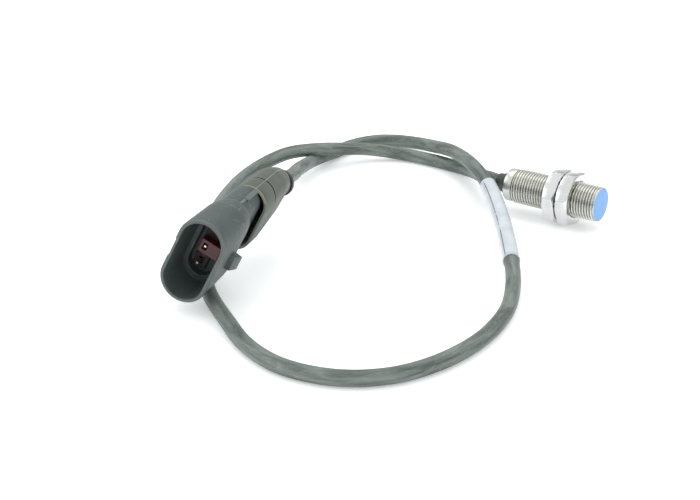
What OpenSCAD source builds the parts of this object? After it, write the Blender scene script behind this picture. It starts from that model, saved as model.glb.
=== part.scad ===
/* [Sensor barrel] */
// Crest diameter of the threaded barrel
barrel_d = 12; // [11.8:0.1:12.2]
// Pitch of the barrel thread
thread_pitch = 1; // [0.75:0.25:1]
// Length of the metal barrel
barrel_len = 34.5; // [32:0.5:50]
// Length of the plain collar behind the thread
collar_len = 3; // [2:0.5:4]
// Bore of the barrel
barrel_bore_d = 10; // [9.6:0.1:10.2]
// Diameter of the coloured sensing face
face_d = 11.2; // [10.8:0.1:11.3]
// Length of the strain relief outside the barrel
relief_len = 4.5; // [4:0.5:6]

/* [Nuts and washers] */
// Width across the flats of both nuts
nut_af = 17; // [16:0.5:17]
// Thickness of each nut
nut_h = 4.5; // [3:0.5:4.5]
// Thickness of each toothed washer
washer_t = 0.22; // [0.16:0.02:0.24]
// Outside diameter of each toothed washer
washer_d = 16.6; // [16:0.2:16.8]
// Teeth round each washer
washer_teeth = 24; // [18:1:28]
// Distance from the sensing face to the front nut
front_nut_setback = 8.5; // [6:0.5:9]

/* [Cable] */
// Outside diameter of the cable jacket
cable_d = 4.8; // [4.4:0.1:4.8]
// Outside diameter of the wrap-round label
label_d = 5.8; // [5.6:0.1:5.8]
// Diameter of one insulated core
core_d = 1.2; // [1:0.1:1.3]

/* [Connector] */
// Long outside width of the connector mouth
mouth_w = 28.8; // [28:0.2:29]
// Short outside width of the connector mouth
mouth_h = 15.2; // [15:0.1:15.4]
// Wall thickness of the shroud
shroud_wall = 1.3; // [1.2:0.1:1.4]
// Depth of the open cavity
cavity_depth = 15; // [14:0.5:15]
// Length of the connector shell
shell_len = 42; // [41:0.5:42]
// Distance between neighbouring blade terminals
pin_pitch = 6.5; // [6:0.1:6.6]
// Distance from the mouth to the rear end of the boot
boot_end = 69.5; // [69:0.5:70]
// Length of the slipped-back boot
boot_len = 33.5; // [33:0.5:33.5]
// Long outside width of the boot's front rim
boot_w = 23.4; // [23:0.2:23.6]
// Short outside width of the boot's front rim
boot_h = 12; // [11.8:0.1:12]

/* [Hidden] */
$fn = 64;
slack = 0.05;            // clearance between pieces that sit in each other
eps = 0.01;

// The sensor lies along X on one corner of each nut, face towards +X
nut_turn = 10;
nut_corner_r = nut_af / sqrt(3);
axis_z = nut_corner_r * cos(30 - nut_turn);
sensor_len = barrel_len + relief_len;
face_x = sensor_len / 2;
barrel_x0 = face_x - barrel_len;
relief_x0 = -face_x;

thread_depth = 0.55;
root_r = barrel_d / 2 - thread_depth;
collar_r = barrel_d / 2 - 0.3;
lead_len = 0.5;          // plain chamfered land at the front end
threads = floor((barrel_len - collar_len - lead_len) / thread_pitch);
thread_end = collar_len + threads * thread_pitch;
bore_r = barrel_bore_d / 2;
cap_flange = 1;          // thickness of the sensing cap's face

nut_bore_r = barrel_d / 2 + 0.06;
front_nut_x = face_x - front_nut_setback - nut_h;
washer_gap = 0.25;       // room for one of the two washers between the nuts
rear_nut_x = front_nut_x - 2 * washer_gap - nut_h;

// Inside the barrel, from the sensing face backwards
cup_r = bore_r - slack;
cup_wall = 0.5;
cup_len = 8;
core_r = cup_r - cup_wall - slack;
ferrite_len = 3.4;
ferrite_x0 = face_x - cap_flange - ferrite_len;
post_r = 1.5;
groove_r = 3.5;
groove_len = 2.2;
board_len = 17;
board_w = 7.6;
board_t = 1;
board_x0 = ferrite_x0 - 0.2 - board_len;
resin_x0 = board_x0 - 1.5;
resin_r = core_r - slack;
plug_x1 = barrel_x0 + 4;
plug_r = bore_r - slack;
relief_r = 3.6;
relief_inner_len = 3;
relief_tip_r = 3;
jacket_end_x = barrel_x0 + 2.5;
core_offset = 1.15;      // distance of each core from the cable's axis

// Cable route from the sensor, over and under itself, to the connector
lying = cable_d / 2;
connector_z = 18.1;
connector_yaw = 15;
connector_roll = 27;
mouth = [-49.63, -129.02, connector_z];
rearward = [-sin(connector_yaw), cos(connector_yaw), 0];
jacket_in_boot = boot_end - 16;
loop_route = [[-17, 0, 9.2], [-23.8, 1.9, 8.9], [-30.4, 6.8, 7], [-37.8, 13.7, 4.7],
    [-47.8, 19.7, 2.7], [-60.8, 21.2, lying], [-72.8, 19.7, 2.7], [-82.6, 13.2, 4.4],
    [-88.8, 3, 6.4], [-93.6, -9, 8.6], [-97.9, -19.3, 9.1], [-100.7, -30.1, 7.5],
    [-101.5, -40.3, 5.4], [-99.4, -51.8, 3.4], [-93.3, -66.2, lying], [-82.2, -84, lying],
    [-68.8, -101.3, lying], [-54.4, -116.3, lying], [-38.4, -127.9, lying], [-22.8, -137.6, lying],
    [-6.8, -141.8, lying], [9.2, -138.3, lying], [20.7, -128.3, lying], [27.2, -113.3, lying],
    [29.2, -95.3, lying], [26.2, -76.3, lying], [18.7, -58.8, 2.9], [8.2, -41.8, 3.9],
    [-5.3, -23.8, 7.2], [-18.8, -8.8, 10.6], [-32.8, 3.7, 11.8], [-48.3, 16.7, 9.6],
    [-61.8, 25.7, 6.2], [-74.3, 31.7, 3.4], [-85.3, 30.7, lying], [-92.3, 22.2, lying],
    [-94.8, 9.7, lying], [-93.2, -8.1, 4.3], [-83.3, -30.6, 10], [-73.6, -47.6, 15],
    [-70, -54.8, 17.1]];
route = concat([[jacket_end_x, 0, axis_z]], loop_route,
    [for (t = [boot_end + 2 : -6 : jacket_in_boot]) mouth + rearward * t]);
cable_rings = 79;
span_step = (len(route) - 1) / cable_rings; // route points from one ring to the next
cable_sides = 12;
label_start = 27.74;     // where the label begins and ends, in route points
label_end = 30.02;
label_rings = 5;

// Connector, in its own frame: +Y rearwards, Z along the long width, X along the short one
shroud_len = 17;
shroud_rear_w = 27.3;
shroud_rear_h = 14.6;
shoulder_end = 22.5;
shoulder_w = 24.5;
shoulder_h = 12.2;
collar_back = 35.6;
neck_collar_w = 19.8;
neck_collar_h = 9.8;
neck_collar_at = [-1.2, 1.47];
neck_w = 19.6;
neck_h = 7.6;
core_shift = -0.8;       // the terminals and the neck sit off the shroud's middle
ledge_depth = 12;
ledge_w = 1.5;
lock_front = 13.7;
lock_block_front = 10.8;
blade_tip = 11;
blade_w = 1.5;
blade_t = 0.8;
terminal_end = 33;
terminal_box = 2.6;
terminal_floor = 17;
crimp_r = 0.9;
seal_r = 2.6;
seal_bore_r = core_d / 2 + slack;
seal_front = 34.5;
wedge_front = 10;
wedge_len = 4;
wedge_w = 5;
wedge_out = 2.7;
recess_depth = 0.45;
boot_front = boot_end - boot_len;
boot_step = 8;
boot_groove = 0.7;
boot_wall = 0.9;
// Widths and centres of the boot's body where it starts to narrow and where it rounds off
boot_mid = [20, 17.5, 11.4];
boot_mid_at = [-0.45, 1.3];
boot_tail = [29, 10.5, 9.4];
boot_tail_at = [-0.7, 1.5];
cuff_bore_r = 2.75;
ring_len = 1.6;
ring_r = 4.6;
ring_wall_r = 3.9;

// ---- places ----
module along_sensor(x) {
    translate([x, 0, axis_z])
        rotate([0, 90, 0])
            children();
}

module on_connector(t = 0) {
    translate(mouth)
        rotate([0, 0, connector_yaw])
            rotate([0, connector_roll, 0])
                translate([0, t, 0])
                    children();
}

// Turns a flat outline (X short, Y long) so that it is extruded rearwards
module extruded_back(len) {
    translate([0, len, 0])
        rotate([90, 0, 0])
            linear_extrude(len)
                children();
}

module stadium(w, h) {
    hull_free = (w - h) / 2;
    for (side = [-1, 1])
        translate([0, side * hull_free])
            circle(d = h);
    square([h, w - h], center = true);
}

module slab(t, w, h, at = [0, 0]) {
    translate([at.x, t, at.y])
        extruded_back(0.1)
            stadium(w, h);
}

// ---- cable sweep ----
function spline(p, u) =
    let (
        n = len(p),
        i = min(floor(u), n - 2),
        t = u - i,
        a = p[max(i - 1, 0)],
        b = p[i],
        c = p[i + 1],
        d = p[min(i + 2, n - 1)]
    )
    0.5 * (2 * b + (c - a) * t + (2 * a - 5 * b + 4 * c - d) * t * t
        + (3 * b - a - 3 * c + d) * t * t * t);

function unit(v) = v / norm(v);

function ring_at(u, r) =
    let (
        step = 0.02,
        middle = spline(route, u),
        centre = [middle.x, middle.y, max(middle.z, lying)],
        ahead = spline(route, min(u + step, len(route) - 1)),
        behind = spline(route, max(u - step, 0)),
        along = unit(ahead - behind),
        side = unit(cross(along, [0, 0, 1])),
        up = cross(side, along)
    )
    [for (k = [0 : cable_sides - 1])
        let (angle = 360 * k / cable_sides)
        centre + r * (cos(angle) * side + sin(angle) * up)];

// A tube between two numbered rings of the route
module cable_tube(first, last, r) {
    rings = last - first;
    points = [for (i = [first : last]) each ring_at(i * span_step, r)];
    front = [for (k = [cable_sides - 1 : -1 : 0]) k];
    back = [for (k = [0 : cable_sides - 1]) rings * cable_sides + k];
    walls = [for (i = [0 : rings - 1]) for (k = [0 : cable_sides - 1])
        let (next = (k + 1) % cable_sides, here = i * cable_sides, there = here + cable_sides)
        [here + k, here + next, there + next, there + k]];
    polyhedron(points, concat([front, back], walls), convexity = 8);
}

// An open sleeve round the tube, between two places on the route
module cable_sleeve(start, finish, rings, outer, inner) {
    step = (finish - start) / rings;
    count = (rings + 1) * cable_sides;
    end = rings * cable_sides;
    points = [for (r = [outer, inner]) for (i = [0 : rings]) each ring_at(start + i * step, r)];
    walls = [for (i = [0 : rings - 1]) for (k = [0 : cable_sides - 1])
        let (here = i * cable_sides + k, next = i * cable_sides + (k + 1) % cable_sides)
        each [[here, next, next + cable_sides, here + cable_sides],
            [count + next, count + here, count + here + cable_sides, count + next + cable_sides]]];
    rims = [for (k = [0 : cable_sides - 1])
        let (next = (k + 1) % cable_sides)
        each [[next, k, count + k, count + next],
            [end + k, end + next, count + end + next, count + end + k]]];
    polyhedron(points, concat(walls, rims), convexity = 8);
}

// ---- sensor ----
module barrel() {
    ridge = [for (i = [0 : threads - 1])
        let (z = collar_len + i * thread_pitch)
        each [[root_r, z], [root_r, z + 0.15 * thread_pitch],
            [barrel_d / 2, z + 0.45 * thread_pitch], [barrel_d / 2, z + 0.7 * thread_pitch]]];
    outline = concat(
        [[bore_r, 0], [collar_r - 0.3, 0], [collar_r, 0.3], [collar_r, collar_len]],
        ridge,
        [[root_r, thread_end], [root_r + 0.3, barrel_len - 0.2], [root_r + 0.3, barrel_len],
            [face_d / 2 + 0.02, barrel_len], [face_d / 2 + 0.02, barrel_len - cap_flange],
            [bore_r, barrel_len - cap_flange]]);
    color("silver")
        along_sensor(barrel_x0)
            rotate_extrude()
                polygon(outline);
}

module sensing_cap() {
    color("dodgerblue")
        along_sensor(face_x - cup_len)
            rotate_extrude()
                polygon([[cup_r - cup_wall, 0], [cup_r, 0], [cup_r, cup_len - cap_flange],
                    [face_d / 2, cup_len - cap_flange], [face_d / 2, cup_len],
                    [0, cup_len], [0, cup_len - cap_flange],
                    [cup_r - cup_wall, cup_len - cap_flange]]);
}

module ferrite_core() {
    floor_len = ferrite_len - groove_len;
    color("dimgray")
        along_sensor(ferrite_x0)
            rotate_extrude()
                polygon([[0, 0], [core_r, 0], [core_r, ferrite_len], [groove_r, ferrite_len],
                    [groove_r, floor_len], [post_r, floor_len], [post_r, ferrite_len],
                    [0, ferrite_len]]);
}

module coil_bobbin() {
    cheek = 0.25;
    hub_r = post_r + slack + 0.3;
    color("ivory")
        along_sensor(ferrite_x0 + ferrite_len - groove_len + slack)
            rotate_extrude()
                polygon([[post_r + slack, 0], [groove_r - slack, 0], [groove_r - slack, cheek],
                    [hub_r, cheek], [hub_r, groove_len - 2 * slack - cheek],
                    [groove_r - slack, groove_len - 2 * slack - cheek],
                    [groove_r - slack, groove_len - 2 * slack],
                    [post_r + slack, groove_len - 2 * slack]]);
}

module coil_winding() {
    cheek = 0.25;
    inner = post_r + 2 * slack + 0.3;
    color("peru")
        along_sensor(ferrite_x0 + ferrite_len - groove_len + 2 * slack + cheek)
            difference() {
                cylinder(r = groove_r - 2 * slack, h = groove_len - 4 * slack - 2 * cheek);
                translate([0, 0, -1])
                    cylinder(r = inner, h = groove_len + 2);
            }
}

module circuit_board() {
    color("darkgreen")
        translate([board_x0, -board_w / 2, axis_z - board_t / 2])
            cube([board_len, board_w, board_t]);
}

// Chips, a regulator and small passives on the board: [x from its rear end, y, length, width, height]
component_sizes = [[2.2, 0, 1.6, 3, 0.9], [5.4, -1.2, 3, 2.4, 1.1], [5.4, 1.9, 2, 1.2, 0.7],
    [9.6, 0.4, 4, 4, 1.2], [13, -1.8, 1.6, 0.8, 0.6], [13, 1.6, 1.6, 0.8, 0.6]];

module component_group(grow = 0) {
    for (c = component_sizes)
        translate([board_x0 + c[0] - grow, c[1] - c[3] / 2 - grow, axis_z + board_t / 2])
            cube([c[2] + 2 * grow, c[3] + 2 * grow, c[4] + grow]);
}

module board_components() {
    color("black")
        component_group();
}

module potting_resin() {
    color("darkkhaki")
        difference() {
            along_sensor(resin_x0)
                cylinder(r = resin_r, h = ferrite_x0 - resin_x0);
            translate([board_x0 - slack, -board_w / 2 - slack, axis_z - board_t / 2 - slack])
                cube([board_len + 0.2 + slack, board_w + 2 * slack, board_t + 2 * slack]);
            component_group(slack);
            for (k = [0 : 2])
                core_line(k, resin_x0 - 1, board_x0, core_d / 2 + slack);
        }
}

module rear_plug() {
    color("dimgray")
        along_sensor(barrel_x0)
            difference() {
                cylinder(r = plug_r, h = plug_x1 - barrel_x0);
                translate([0, 0, -1])
                    cylinder(r = relief_r + slack, h = relief_inner_len + slack + 1);
                translate([0, 0, -1])
                    cylinder(r = core_offset + core_d / 2 + 0.3, h = 8);
            }
}

module strain_relief() {
    total = relief_len + relief_inner_len;
    color("black")
        along_sensor(relief_x0)
            rotate_extrude()
                polygon([[lying + slack, 0], [relief_tip_r - 0.2, 0], [relief_tip_r, 0.3],
                    [relief_tip_r + 0.1, relief_len * 0.4], [4.1, relief_len - 1],
                    [4.4, relief_len - 0.5], [4.4, relief_len - eps], [relief_r, relief_len - eps],
                    [relief_r, total], [lying + slack, total]]);
}

module hex_nut(x) {
    chamfer_r = nut_af / 2 * 0.955;
    rise = (nut_corner_r - chamfer_r) * tan(30);
    color("gainsboro")
        along_sensor(x)
            rotate([0, 0, -nut_turn])
                intersection() {
                    rotate([0, 0, 30])
                        cylinder(r = nut_corner_r, h = nut_h, $fn = 6);
                    rotate_extrude()
                        polygon([[nut_bore_r + 0.4, 0], [chamfer_r, 0], [nut_corner_r, rise],
                            [nut_corner_r, nut_h - rise], [chamfer_r, nut_h],
                            [nut_bore_r + 0.4, nut_h], [nut_bore_r, nut_h - 0.4],
                            [nut_bore_r, 0.4]]);
                }
}

module front_nut() {
    hex_nut(front_nut_x);
}

module rear_nut() {
    hex_nut(rear_nut_x);
}

module toothed_washer(x) {
    notch_depth = 1.1;
    notch_w = PI * washer_d / washer_teeth * 0.42;
    color("darkgray")
        along_sensor(x + (washer_gap - washer_t) / 2)
            linear_extrude(washer_t)
                difference() {
                    circle(d = washer_d);
                    circle(r = nut_bore_r + 0.15);
                    for (i = [0 : washer_teeth - 1])
                        rotate(i * 360 / washer_teeth)
                            translate([washer_d / 2 - notch_depth, -notch_w / 2])
                                square([notch_depth + 1, notch_w]);
                }
}

module front_washer() {
    toothed_washer(front_nut_x - washer_gap);
}

module rear_washer() {
    toothed_washer(rear_nut_x + nut_h);
}

// One core beside the cable's axis, from x0 to x1
module core_line(index, x0, x1, r = core_d / 2) {
    angle = 90 + 120 * index;
    translate([0, core_offset * cos(angle), core_offset * sin(angle)])
        along_sensor(x0)
            cylinder(r = r, h = x1 - x0);
}

module sensor_wire(index, paint) {
    color(paint)
        core_line(index, jacket_end_x + eps, board_x0 - slack);
}

// ---- cable ----
module cable_jacket() {
    color("dimgray")
        cable_tube(0, cable_rings, cable_d / 2);
}

module cable_label() {
    color("white")
        cable_sleeve(label_start, label_end, label_rings, label_d / 2, cable_d / 2 + slack);
}

// ---- connector ----
module shell_outside() {
    hull() {
        slab(0, mouth_w, mouth_h);
        slab(shroud_len, shroud_rear_w, shroud_rear_h);
    }
    hull() {
        slab(shroud_len, shroud_rear_w, shroud_rear_h);
        slab(shoulder_end, shoulder_w, shoulder_h, [0, 0.4]);
    }
    translate([neck_collar_at.x, shoulder_end - 1, neck_collar_at.y])
        extruded_back(collar_back - shoulder_end + 1)
            stadium(neck_collar_w, neck_collar_h);
    translate([core_shift, shoulder_end - 1, 0])
        extruded_back(shell_len - shoulder_end + 1)
            stadium(neck_w, neck_h);
    // Rib along the top of the collar
    translate([-0.3, 28, 9])
        cube([1.6, collar_back - 28, 2.7]);
    // Locking wedge on one wide side
    translate([mouth_h / 2 - 1.2, wedge_front, -wedge_w / 2])
        cube([wedge_out + 1.2, wedge_len, wedge_w]);
}

module terminal_way(index) {
    place = (index - 1) * pin_pitch;
    translate([core_shift, 0, place]) {
        translate([-terminal_box / 2 - slack, terminal_floor, -terminal_box / 2 - slack])
            cube([terminal_box + 2 * slack, seal_front - terminal_floor + 1,
                terminal_box + 2 * slack]);
        translate([-blade_t / 2 - slack, cavity_depth - 1, -blade_w / 2 - slack])
            cube([blade_t + 2 * slack, 4, blade_w + 2 * slack]);
        translate([0, seal_front, 0])
            extruded_back(shell_len)
                circle(r = seal_r + slack);
    }
}

module connector_shell() {
    inside_w = mouth_w - 2 * shroud_wall;
    inside_h = mouth_h - 2 * shroud_wall;
    color("dimgray")
        on_connector()
            difference() {
                shell_outside();
                translate([0, -1, 0])
                    extruded_back(2)
                        stadium(inside_w, inside_h);
                hull() {
                    slab(0.5, inside_w, inside_h);
                    slab(ledge_depth, inside_w - 2, inside_h - 1);
                }
                // Shallow recess on the other wide side
                translate([-mouth_h / 2 - 1, -1, -2.8])
                    cube([1 + recess_depth, 13, 6.8]);
                // Inner recess below the ledge, with the seat of the lock
                translate([0, ledge_depth - 0.5, 0])
                    extruded_back(cavity_depth - ledge_depth + 0.5)
                        stadium(inside_w - 2 - 2 * ledge_w, inside_h - 1 - 2 * ledge_w);
                for (index = [0 : 2])
                    terminal_way(index);
            }
}

module terminal_lock() {
    color("firebrick")
        on_connector()
            difference() {
                union() {
                    translate([core_shift - 2.2, lock_front, -9])
                        cube([4.4, cavity_depth - lock_front - slack, 18]);
                    translate([-2.6, lock_block_front, -2.3])
                        cube([6.8, cavity_depth - lock_block_front - slack, 4.6]);
                }
                for (index = [0 : 2])
                    translate([core_shift - 0.7, 0, (index - 1) * pin_pitch - 1.1])
                        cube([1.4, 20, 2.2]);
            }
}

module terminal(index) {
    half = blade_w / 2;
    color("tan")
        on_connector()
            translate([core_shift, 0, (index - 1) * pin_pitch]) {
                // Blade with a bevelled tip, box and crimp
                translate([-blade_t / 2, 0, 0])
                    rotate([90, 0, 90])
                        linear_extrude(blade_t)
                            polygon([[blade_tip, -half + 0.4], [blade_tip + 0.8, -half],
                                [terminal_floor + 1, -half], [terminal_floor + 1, half],
                                [blade_tip + 0.8, half], [blade_tip, half - 0.4]]);
                translate([-terminal_box / 2, terminal_floor + slack, -terminal_box / 2])
                    cube([terminal_box, 9, terminal_box]);
                translate([0, terminal_floor + 9, 0])
                    extruded_back(terminal_end - terminal_floor - 9)
                        difference() {
                            circle(r = crimp_r + 0.15);
                            circle(r = core_d / 2 + slack);
                        }
            }
}

module wire_seal(index) {
    ribs = [for (i = [0 : 2]) let (z = i * 2.2) each [[seal_r - 0.4, z], [seal_r, z + 0.5],
        [seal_r, z + 1], [seal_r - 0.4, z + 1.6]]];
    color("orangered")
        on_connector(seal_front + slack)
            translate([core_shift, 0, (index - 1) * pin_pitch])
                rotate([-90, 0, 0])
                    rotate_extrude()
                        polygon(concat([[seal_bore_r, 0]], ribs, [[seal_bore_r, 6]]));
}

// The three cores fan out from the end of the jacket to the terminals
module plug_wire(index, paint) {
    wire_y0 = terminal_end - 6;
    bend = shell_len + 0.5;
    shift = (index - 1) * pin_pitch;
    start = (index - 1) * core_d * 1.05;
    color(paint)
        on_connector() {
            translate([core_shift, wire_y0, shift])
                extruded_back(bend - wire_y0)
                    circle(d = core_d);
            hull() {
                translate([core_shift, bend, shift])
                    sphere(d = core_d, $fn = 16);
                translate([0, jacket_in_boot - core_d / 2 - slack, start])
                    sphere(d = core_d, $fn = 16);
            }
        }
}

// A section of the boot's body, drawn in by the wall for its inside
module boot_section(size, at, wall = 0) {
    slab(size[0], size[1] - 2 * wall, size[2] - 2 * wall, at);
}

module boot() {
    inner_w = boot_w - 2 * boot_wall;
    inner_h = boot_h - 2 * boot_wall;
    shoulder = [boot_step + boot_groove, boot_w - 0.5, boot_h - 0.3];
    cuff = ring_len + 1;
    color("slategray")
        on_connector(boot_front)
            difference() {
                union() {
                    extruded_back(boot_step)
                        stadium(boot_w, boot_h);
                    // Floor of the groove behind the front band
                    translate([0, boot_step - 1, 0])
                        extruded_back(boot_groove + 1.3)
                            stadium(boot_w - 1.1, boot_h - 1.1);
                    hull() {
                        boot_section(shoulder, [0, 0]);
                        boot_section(boot_mid, boot_mid_at);
                    }
                    hull() {
                        boot_section(boot_mid, boot_mid_at);
                        boot_section(boot_tail, boot_tail_at);
                    }
                    hull() {
                        boot_section(boot_tail, boot_tail_at);
                        translate([0, boot_len - cuff, 0])
                            extruded_back(0.1)
                                circle(r = ring_wall_r - 0.25);
                    }
                    translate([0, boot_len - cuff - 1.5, 0])
                        extruded_back(cuff + 1.5)
                            circle(r = ring_wall_r);
                }
                translate([0, -1, 0])
                    extruded_back(boot_step + 1.2)
                        stadium(inner_w, inner_h);
                hull() {
                    slab(boot_step, inner_w - 0.3, inner_h - 0.3);
                    boot_section(boot_mid, boot_mid_at, boot_wall + 0.1);
                }
                hull() {
                    boot_section(boot_mid, boot_mid_at, boot_wall + 0.1);
                    translate([0, boot_len - cuff - 1.5, 0])
                        extruded_back(0.1)
                            circle(r = cuff_bore_r + 0.3);
                }
                translate([0, boot_len - cuff - 2, 0])
                    extruded_back(cuff + 3)
                        circle(r = cuff_bore_r);
            }
}

module boot_ring() {
    color("black")
        on_connector(boot_end - ring_len)
            rotate([-90, 0, 0])
                rotate_extrude()
                    polygon([[ring_wall_r + 0.02, 0], [ring_r - 0.4, 0], [ring_r, 0.4],
                        [ring_r, ring_len - 0.4], [ring_r - 0.4, ring_len],
                        [ring_wall_r + 0.02, ring_len]]);
}

barrel();
sensing_cap();
ferrite_core();
coil_bobbin();
coil_winding();
circuit_board();
board_components();
potting_resin();
rear_plug();
strain_relief();
front_nut();
rear_nut();
front_washer();
rear_washer();
sensor_wire(0, "sienna");  // sensor_wire_brown
sensor_wire(1, "black");  // sensor_wire_black
sensor_wire(2, "mediumblue");  // sensor_wire_blue
cable_jacket();
cable_label();
connector_shell();
terminal_lock();
terminal(0);  // terminal_1
terminal(1);  // terminal_2
terminal(2);  // terminal_3
wire_seal(0);  // wire_seal_1
wire_seal(1);  // wire_seal_2
wire_seal(2);  // wire_seal_3
plug_wire(0, "sienna");  // plug_wire_brown
plug_wire(1, "black");  // plug_wire_black
plug_wire(2, "mediumblue");  // plug_wire_blue
boot();
boot_ring();
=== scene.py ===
import math

import bmesh
import bpy
import numpy as np
from mathutils import Matrix, Vector


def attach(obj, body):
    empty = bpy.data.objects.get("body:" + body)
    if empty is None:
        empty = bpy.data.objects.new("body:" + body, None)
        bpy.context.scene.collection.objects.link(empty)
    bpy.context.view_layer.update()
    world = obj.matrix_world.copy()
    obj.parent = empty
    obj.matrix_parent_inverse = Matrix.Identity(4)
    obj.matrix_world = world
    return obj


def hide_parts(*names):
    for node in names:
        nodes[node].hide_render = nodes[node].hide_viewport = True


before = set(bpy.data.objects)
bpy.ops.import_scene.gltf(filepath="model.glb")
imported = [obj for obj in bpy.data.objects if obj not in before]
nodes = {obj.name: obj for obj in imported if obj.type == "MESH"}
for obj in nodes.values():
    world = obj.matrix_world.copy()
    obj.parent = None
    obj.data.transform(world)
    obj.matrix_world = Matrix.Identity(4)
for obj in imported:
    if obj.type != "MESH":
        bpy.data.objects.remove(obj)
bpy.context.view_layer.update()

MM = 0.001

# ---------------------------------------------------------------- camera
camera_data = bpy.data.cameras.new("camera")
camera_data.sensor_width = 36
camera_data.lens = 74.57
camera_data.clip_start = 0.01
camera_data.clip_end = 30
camera = bpy.data.objects.new("camera", camera_data)
camera.location = (0.20667, -0.41942, 0.190)
camera.rotation_euler = (math.radians(66.4), 0, math.radians(34.6))
bpy.context.scene.collection.objects.link(camera)
bpy.context.scene.camera = camera

# ---------------------------------------------------------------- sizes, in mm, as in the CAD
FACE_X = 19.5
BARREL_X0 = -15.0
THREAD_X0 = -12.0
CREST_R = 6.0
ROOT_R = 5.45
COLLAR_R = 5.7
BORE_R = 5.0
FACE_R = 5.6
NUT_AF = 17.0
NUT_H = 4.5
NUT_TURN = math.radians(10)
NUT_CORNER_R = NUT_AF / math.sqrt(3)
AXIS_Z = NUT_CORNER_R * math.cos(math.radians(30) - NUT_TURN)
CABLE_R = 2.4
LABEL_START = 27.74   # in route points
LABEL_END = 30.02
LABEL_BORE_R = 2.46
LABEL_R = 2.76
LABEL_OVERLAP = 0.10
MOUTH = Vector((-49.63, -129.02, 18.1))
YAW = math.radians(15)
ROLL = math.radians(27)
CORE_SHIFT = -0.8
PIN_PITCH = 6.5
BOOT_FRONT = 36.0
BOOT_END = 69.5
BOOT_LEN = BOOT_END - BOOT_FRONT

connector_place = (
    Matrix.Translation(MOUTH)
    @ Matrix.Rotation(YAW, 4, "Z")
    @ Matrix.Rotation(ROLL, 4, "Y")
)
sensor_place = Matrix.Translation((0, 0, AXIS_Z))


# ---------------------------------------------------------------- node helpers
class Shader:
    """A material's node tree, with one Principled shader."""

    def __init__(self, name, rough=0.5, metallic=0.0, **sockets):
        self.material = bpy.data.materials.new(name)
        self.material.use_nodes = True
        self.tree = self.material.node_tree
        self.main = self.tree.nodes["Principled BSDF"]
        self.main.inputs["Roughness"].default_value = rough
        self.main.inputs["Metallic"].default_value = metallic
        for key, value in sockets.items():
            self.main.inputs[key.replace("_", " ")].default_value = value

    def node(self, kind, inputs=(), **settings):
        made = self.tree.nodes.new("ShaderNode" + kind)
        for key, value in settings.items():
            setattr(made, key, value)
        for key, value in dict(inputs).items():
            if isinstance(value, bpy.types.NodeSocket):
                self.tree.links.new(value, made.inputs[key])
            else:
                made.inputs[key].default_value = value
        return made

    def link(self, socket, name):
        self.tree.links.new(socket, self.main.inputs[name])

    def where(self, stretch=(1, 1, 1), uv=False):
        coordinates = self.node("TexCoord")
        source = coordinates.outputs["UV" if uv else "Object"]
        mapping = self.node("Mapping", {"Vector": source, "Scale": stretch})
        return mapping.outputs["Vector"]

    def noise(self, where, scale, detail=4.0, rough=0.55, distortion=0.0):
        made = self.node(
            "TexNoise",
            {"Vector": where, "Scale": scale, "Detail": detail, "Roughness": rough,
             "Distortion": distortion},
        )
        return made.outputs["Fac"]

    def ramp(self, value, stops):
        made = self.node("ValToRGB", {"Fac": value})
        elements = made.color_ramp.elements
        while len(elements) < len(stops):
            elements.new(0.5)
        for element, (place, shade) in zip(elements, stops):
            element.position = place
            element.color = shade if len(shade) == 4 else (*shade, 1)
        return made.outputs["Color"]

    def mask(self, value, low, high):
        made = self.node(
            "MapRange",
            {"Value": value, "From Min": low, "From Max": high, "To Min": 0.0, "To Max": 1.0},
        )
        made.clamp = True
        return made.outputs["Result"]

    def mix(self, share, a, b):
        made = self.node("Mix", data_type="RGBA")
        for place, value in ((0, share), (6, a), (7, b)):
            if isinstance(value, bpy.types.NodeSocket):
                self.tree.links.new(value, made.inputs[place])
            else:
                made.inputs[place].default_value = (
                    value if place == 0 else (*value, 1) if len(value) == 3 else value
                )
        return made.outputs[2]

    def maths(self, operation, a, b=0.0):
        return self.node("Math", {0: a, 1: b}, operation=operation).outputs[0]

    def bump(self, height, distance, strength=1.0, below=None):
        inputs = {"Height": height, "Distance": distance, "Strength": strength}
        if below is not None:
            inputs["Normal"] = below
        return self.node("Bump", inputs).outputs["Normal"]


def moulded(name, dark, light, rough=(0.4, 0.6), grain=3500, grain_depth=1.5e-5, patches=140,
            scuff=None, scuff_share=0.6, edge=None, stretch=(1, 1, 1), uv=False, **sockets):
    """Plastic or rubber: cloudy colour, fine grain, dull scuffs and paler worn edges."""
    s = Shader(name, **sockets)
    where = s.where(stretch, uv)
    cloud = s.noise(where, patches, 5, 0.6)
    fine = s.noise(where, grain, 3)
    colour = s.ramp(cloud, [(0.3, dark), (0.7, light)])
    height = s.bump(fine, grain_depth)
    level = s.mask(cloud, 0.3, 0.7)
    if scuff:
        marks = s.noise(where, patches * 3.1, 8, 0.72, 1.2)
        share = s.mask(marks, scuff_share, scuff_share + 0.12)
        colour = s.mix(share, colour, scuff)
        level = s.maths("MAXIMUM", level, share)
        height = s.bump(marks, grain_depth * 2, 0.6, height)
    if edge:
        pointy = s.node("NewGeometry").outputs["Pointiness"]
        colour = s.mix(s.mask(pointy, 0.52, 0.59), colour, edge)
    spread = s.node(
        "MapRange", {"Value": level, "From Min": 0.0, "From Max": 1.0,
                     "To Min": rough[0], "To Max": rough[1]})
    s.link(colour, "Base Color")
    s.link(spread.outputs["Result"], "Roughness")
    s.link(height, "Normal")
    return s.material


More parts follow.
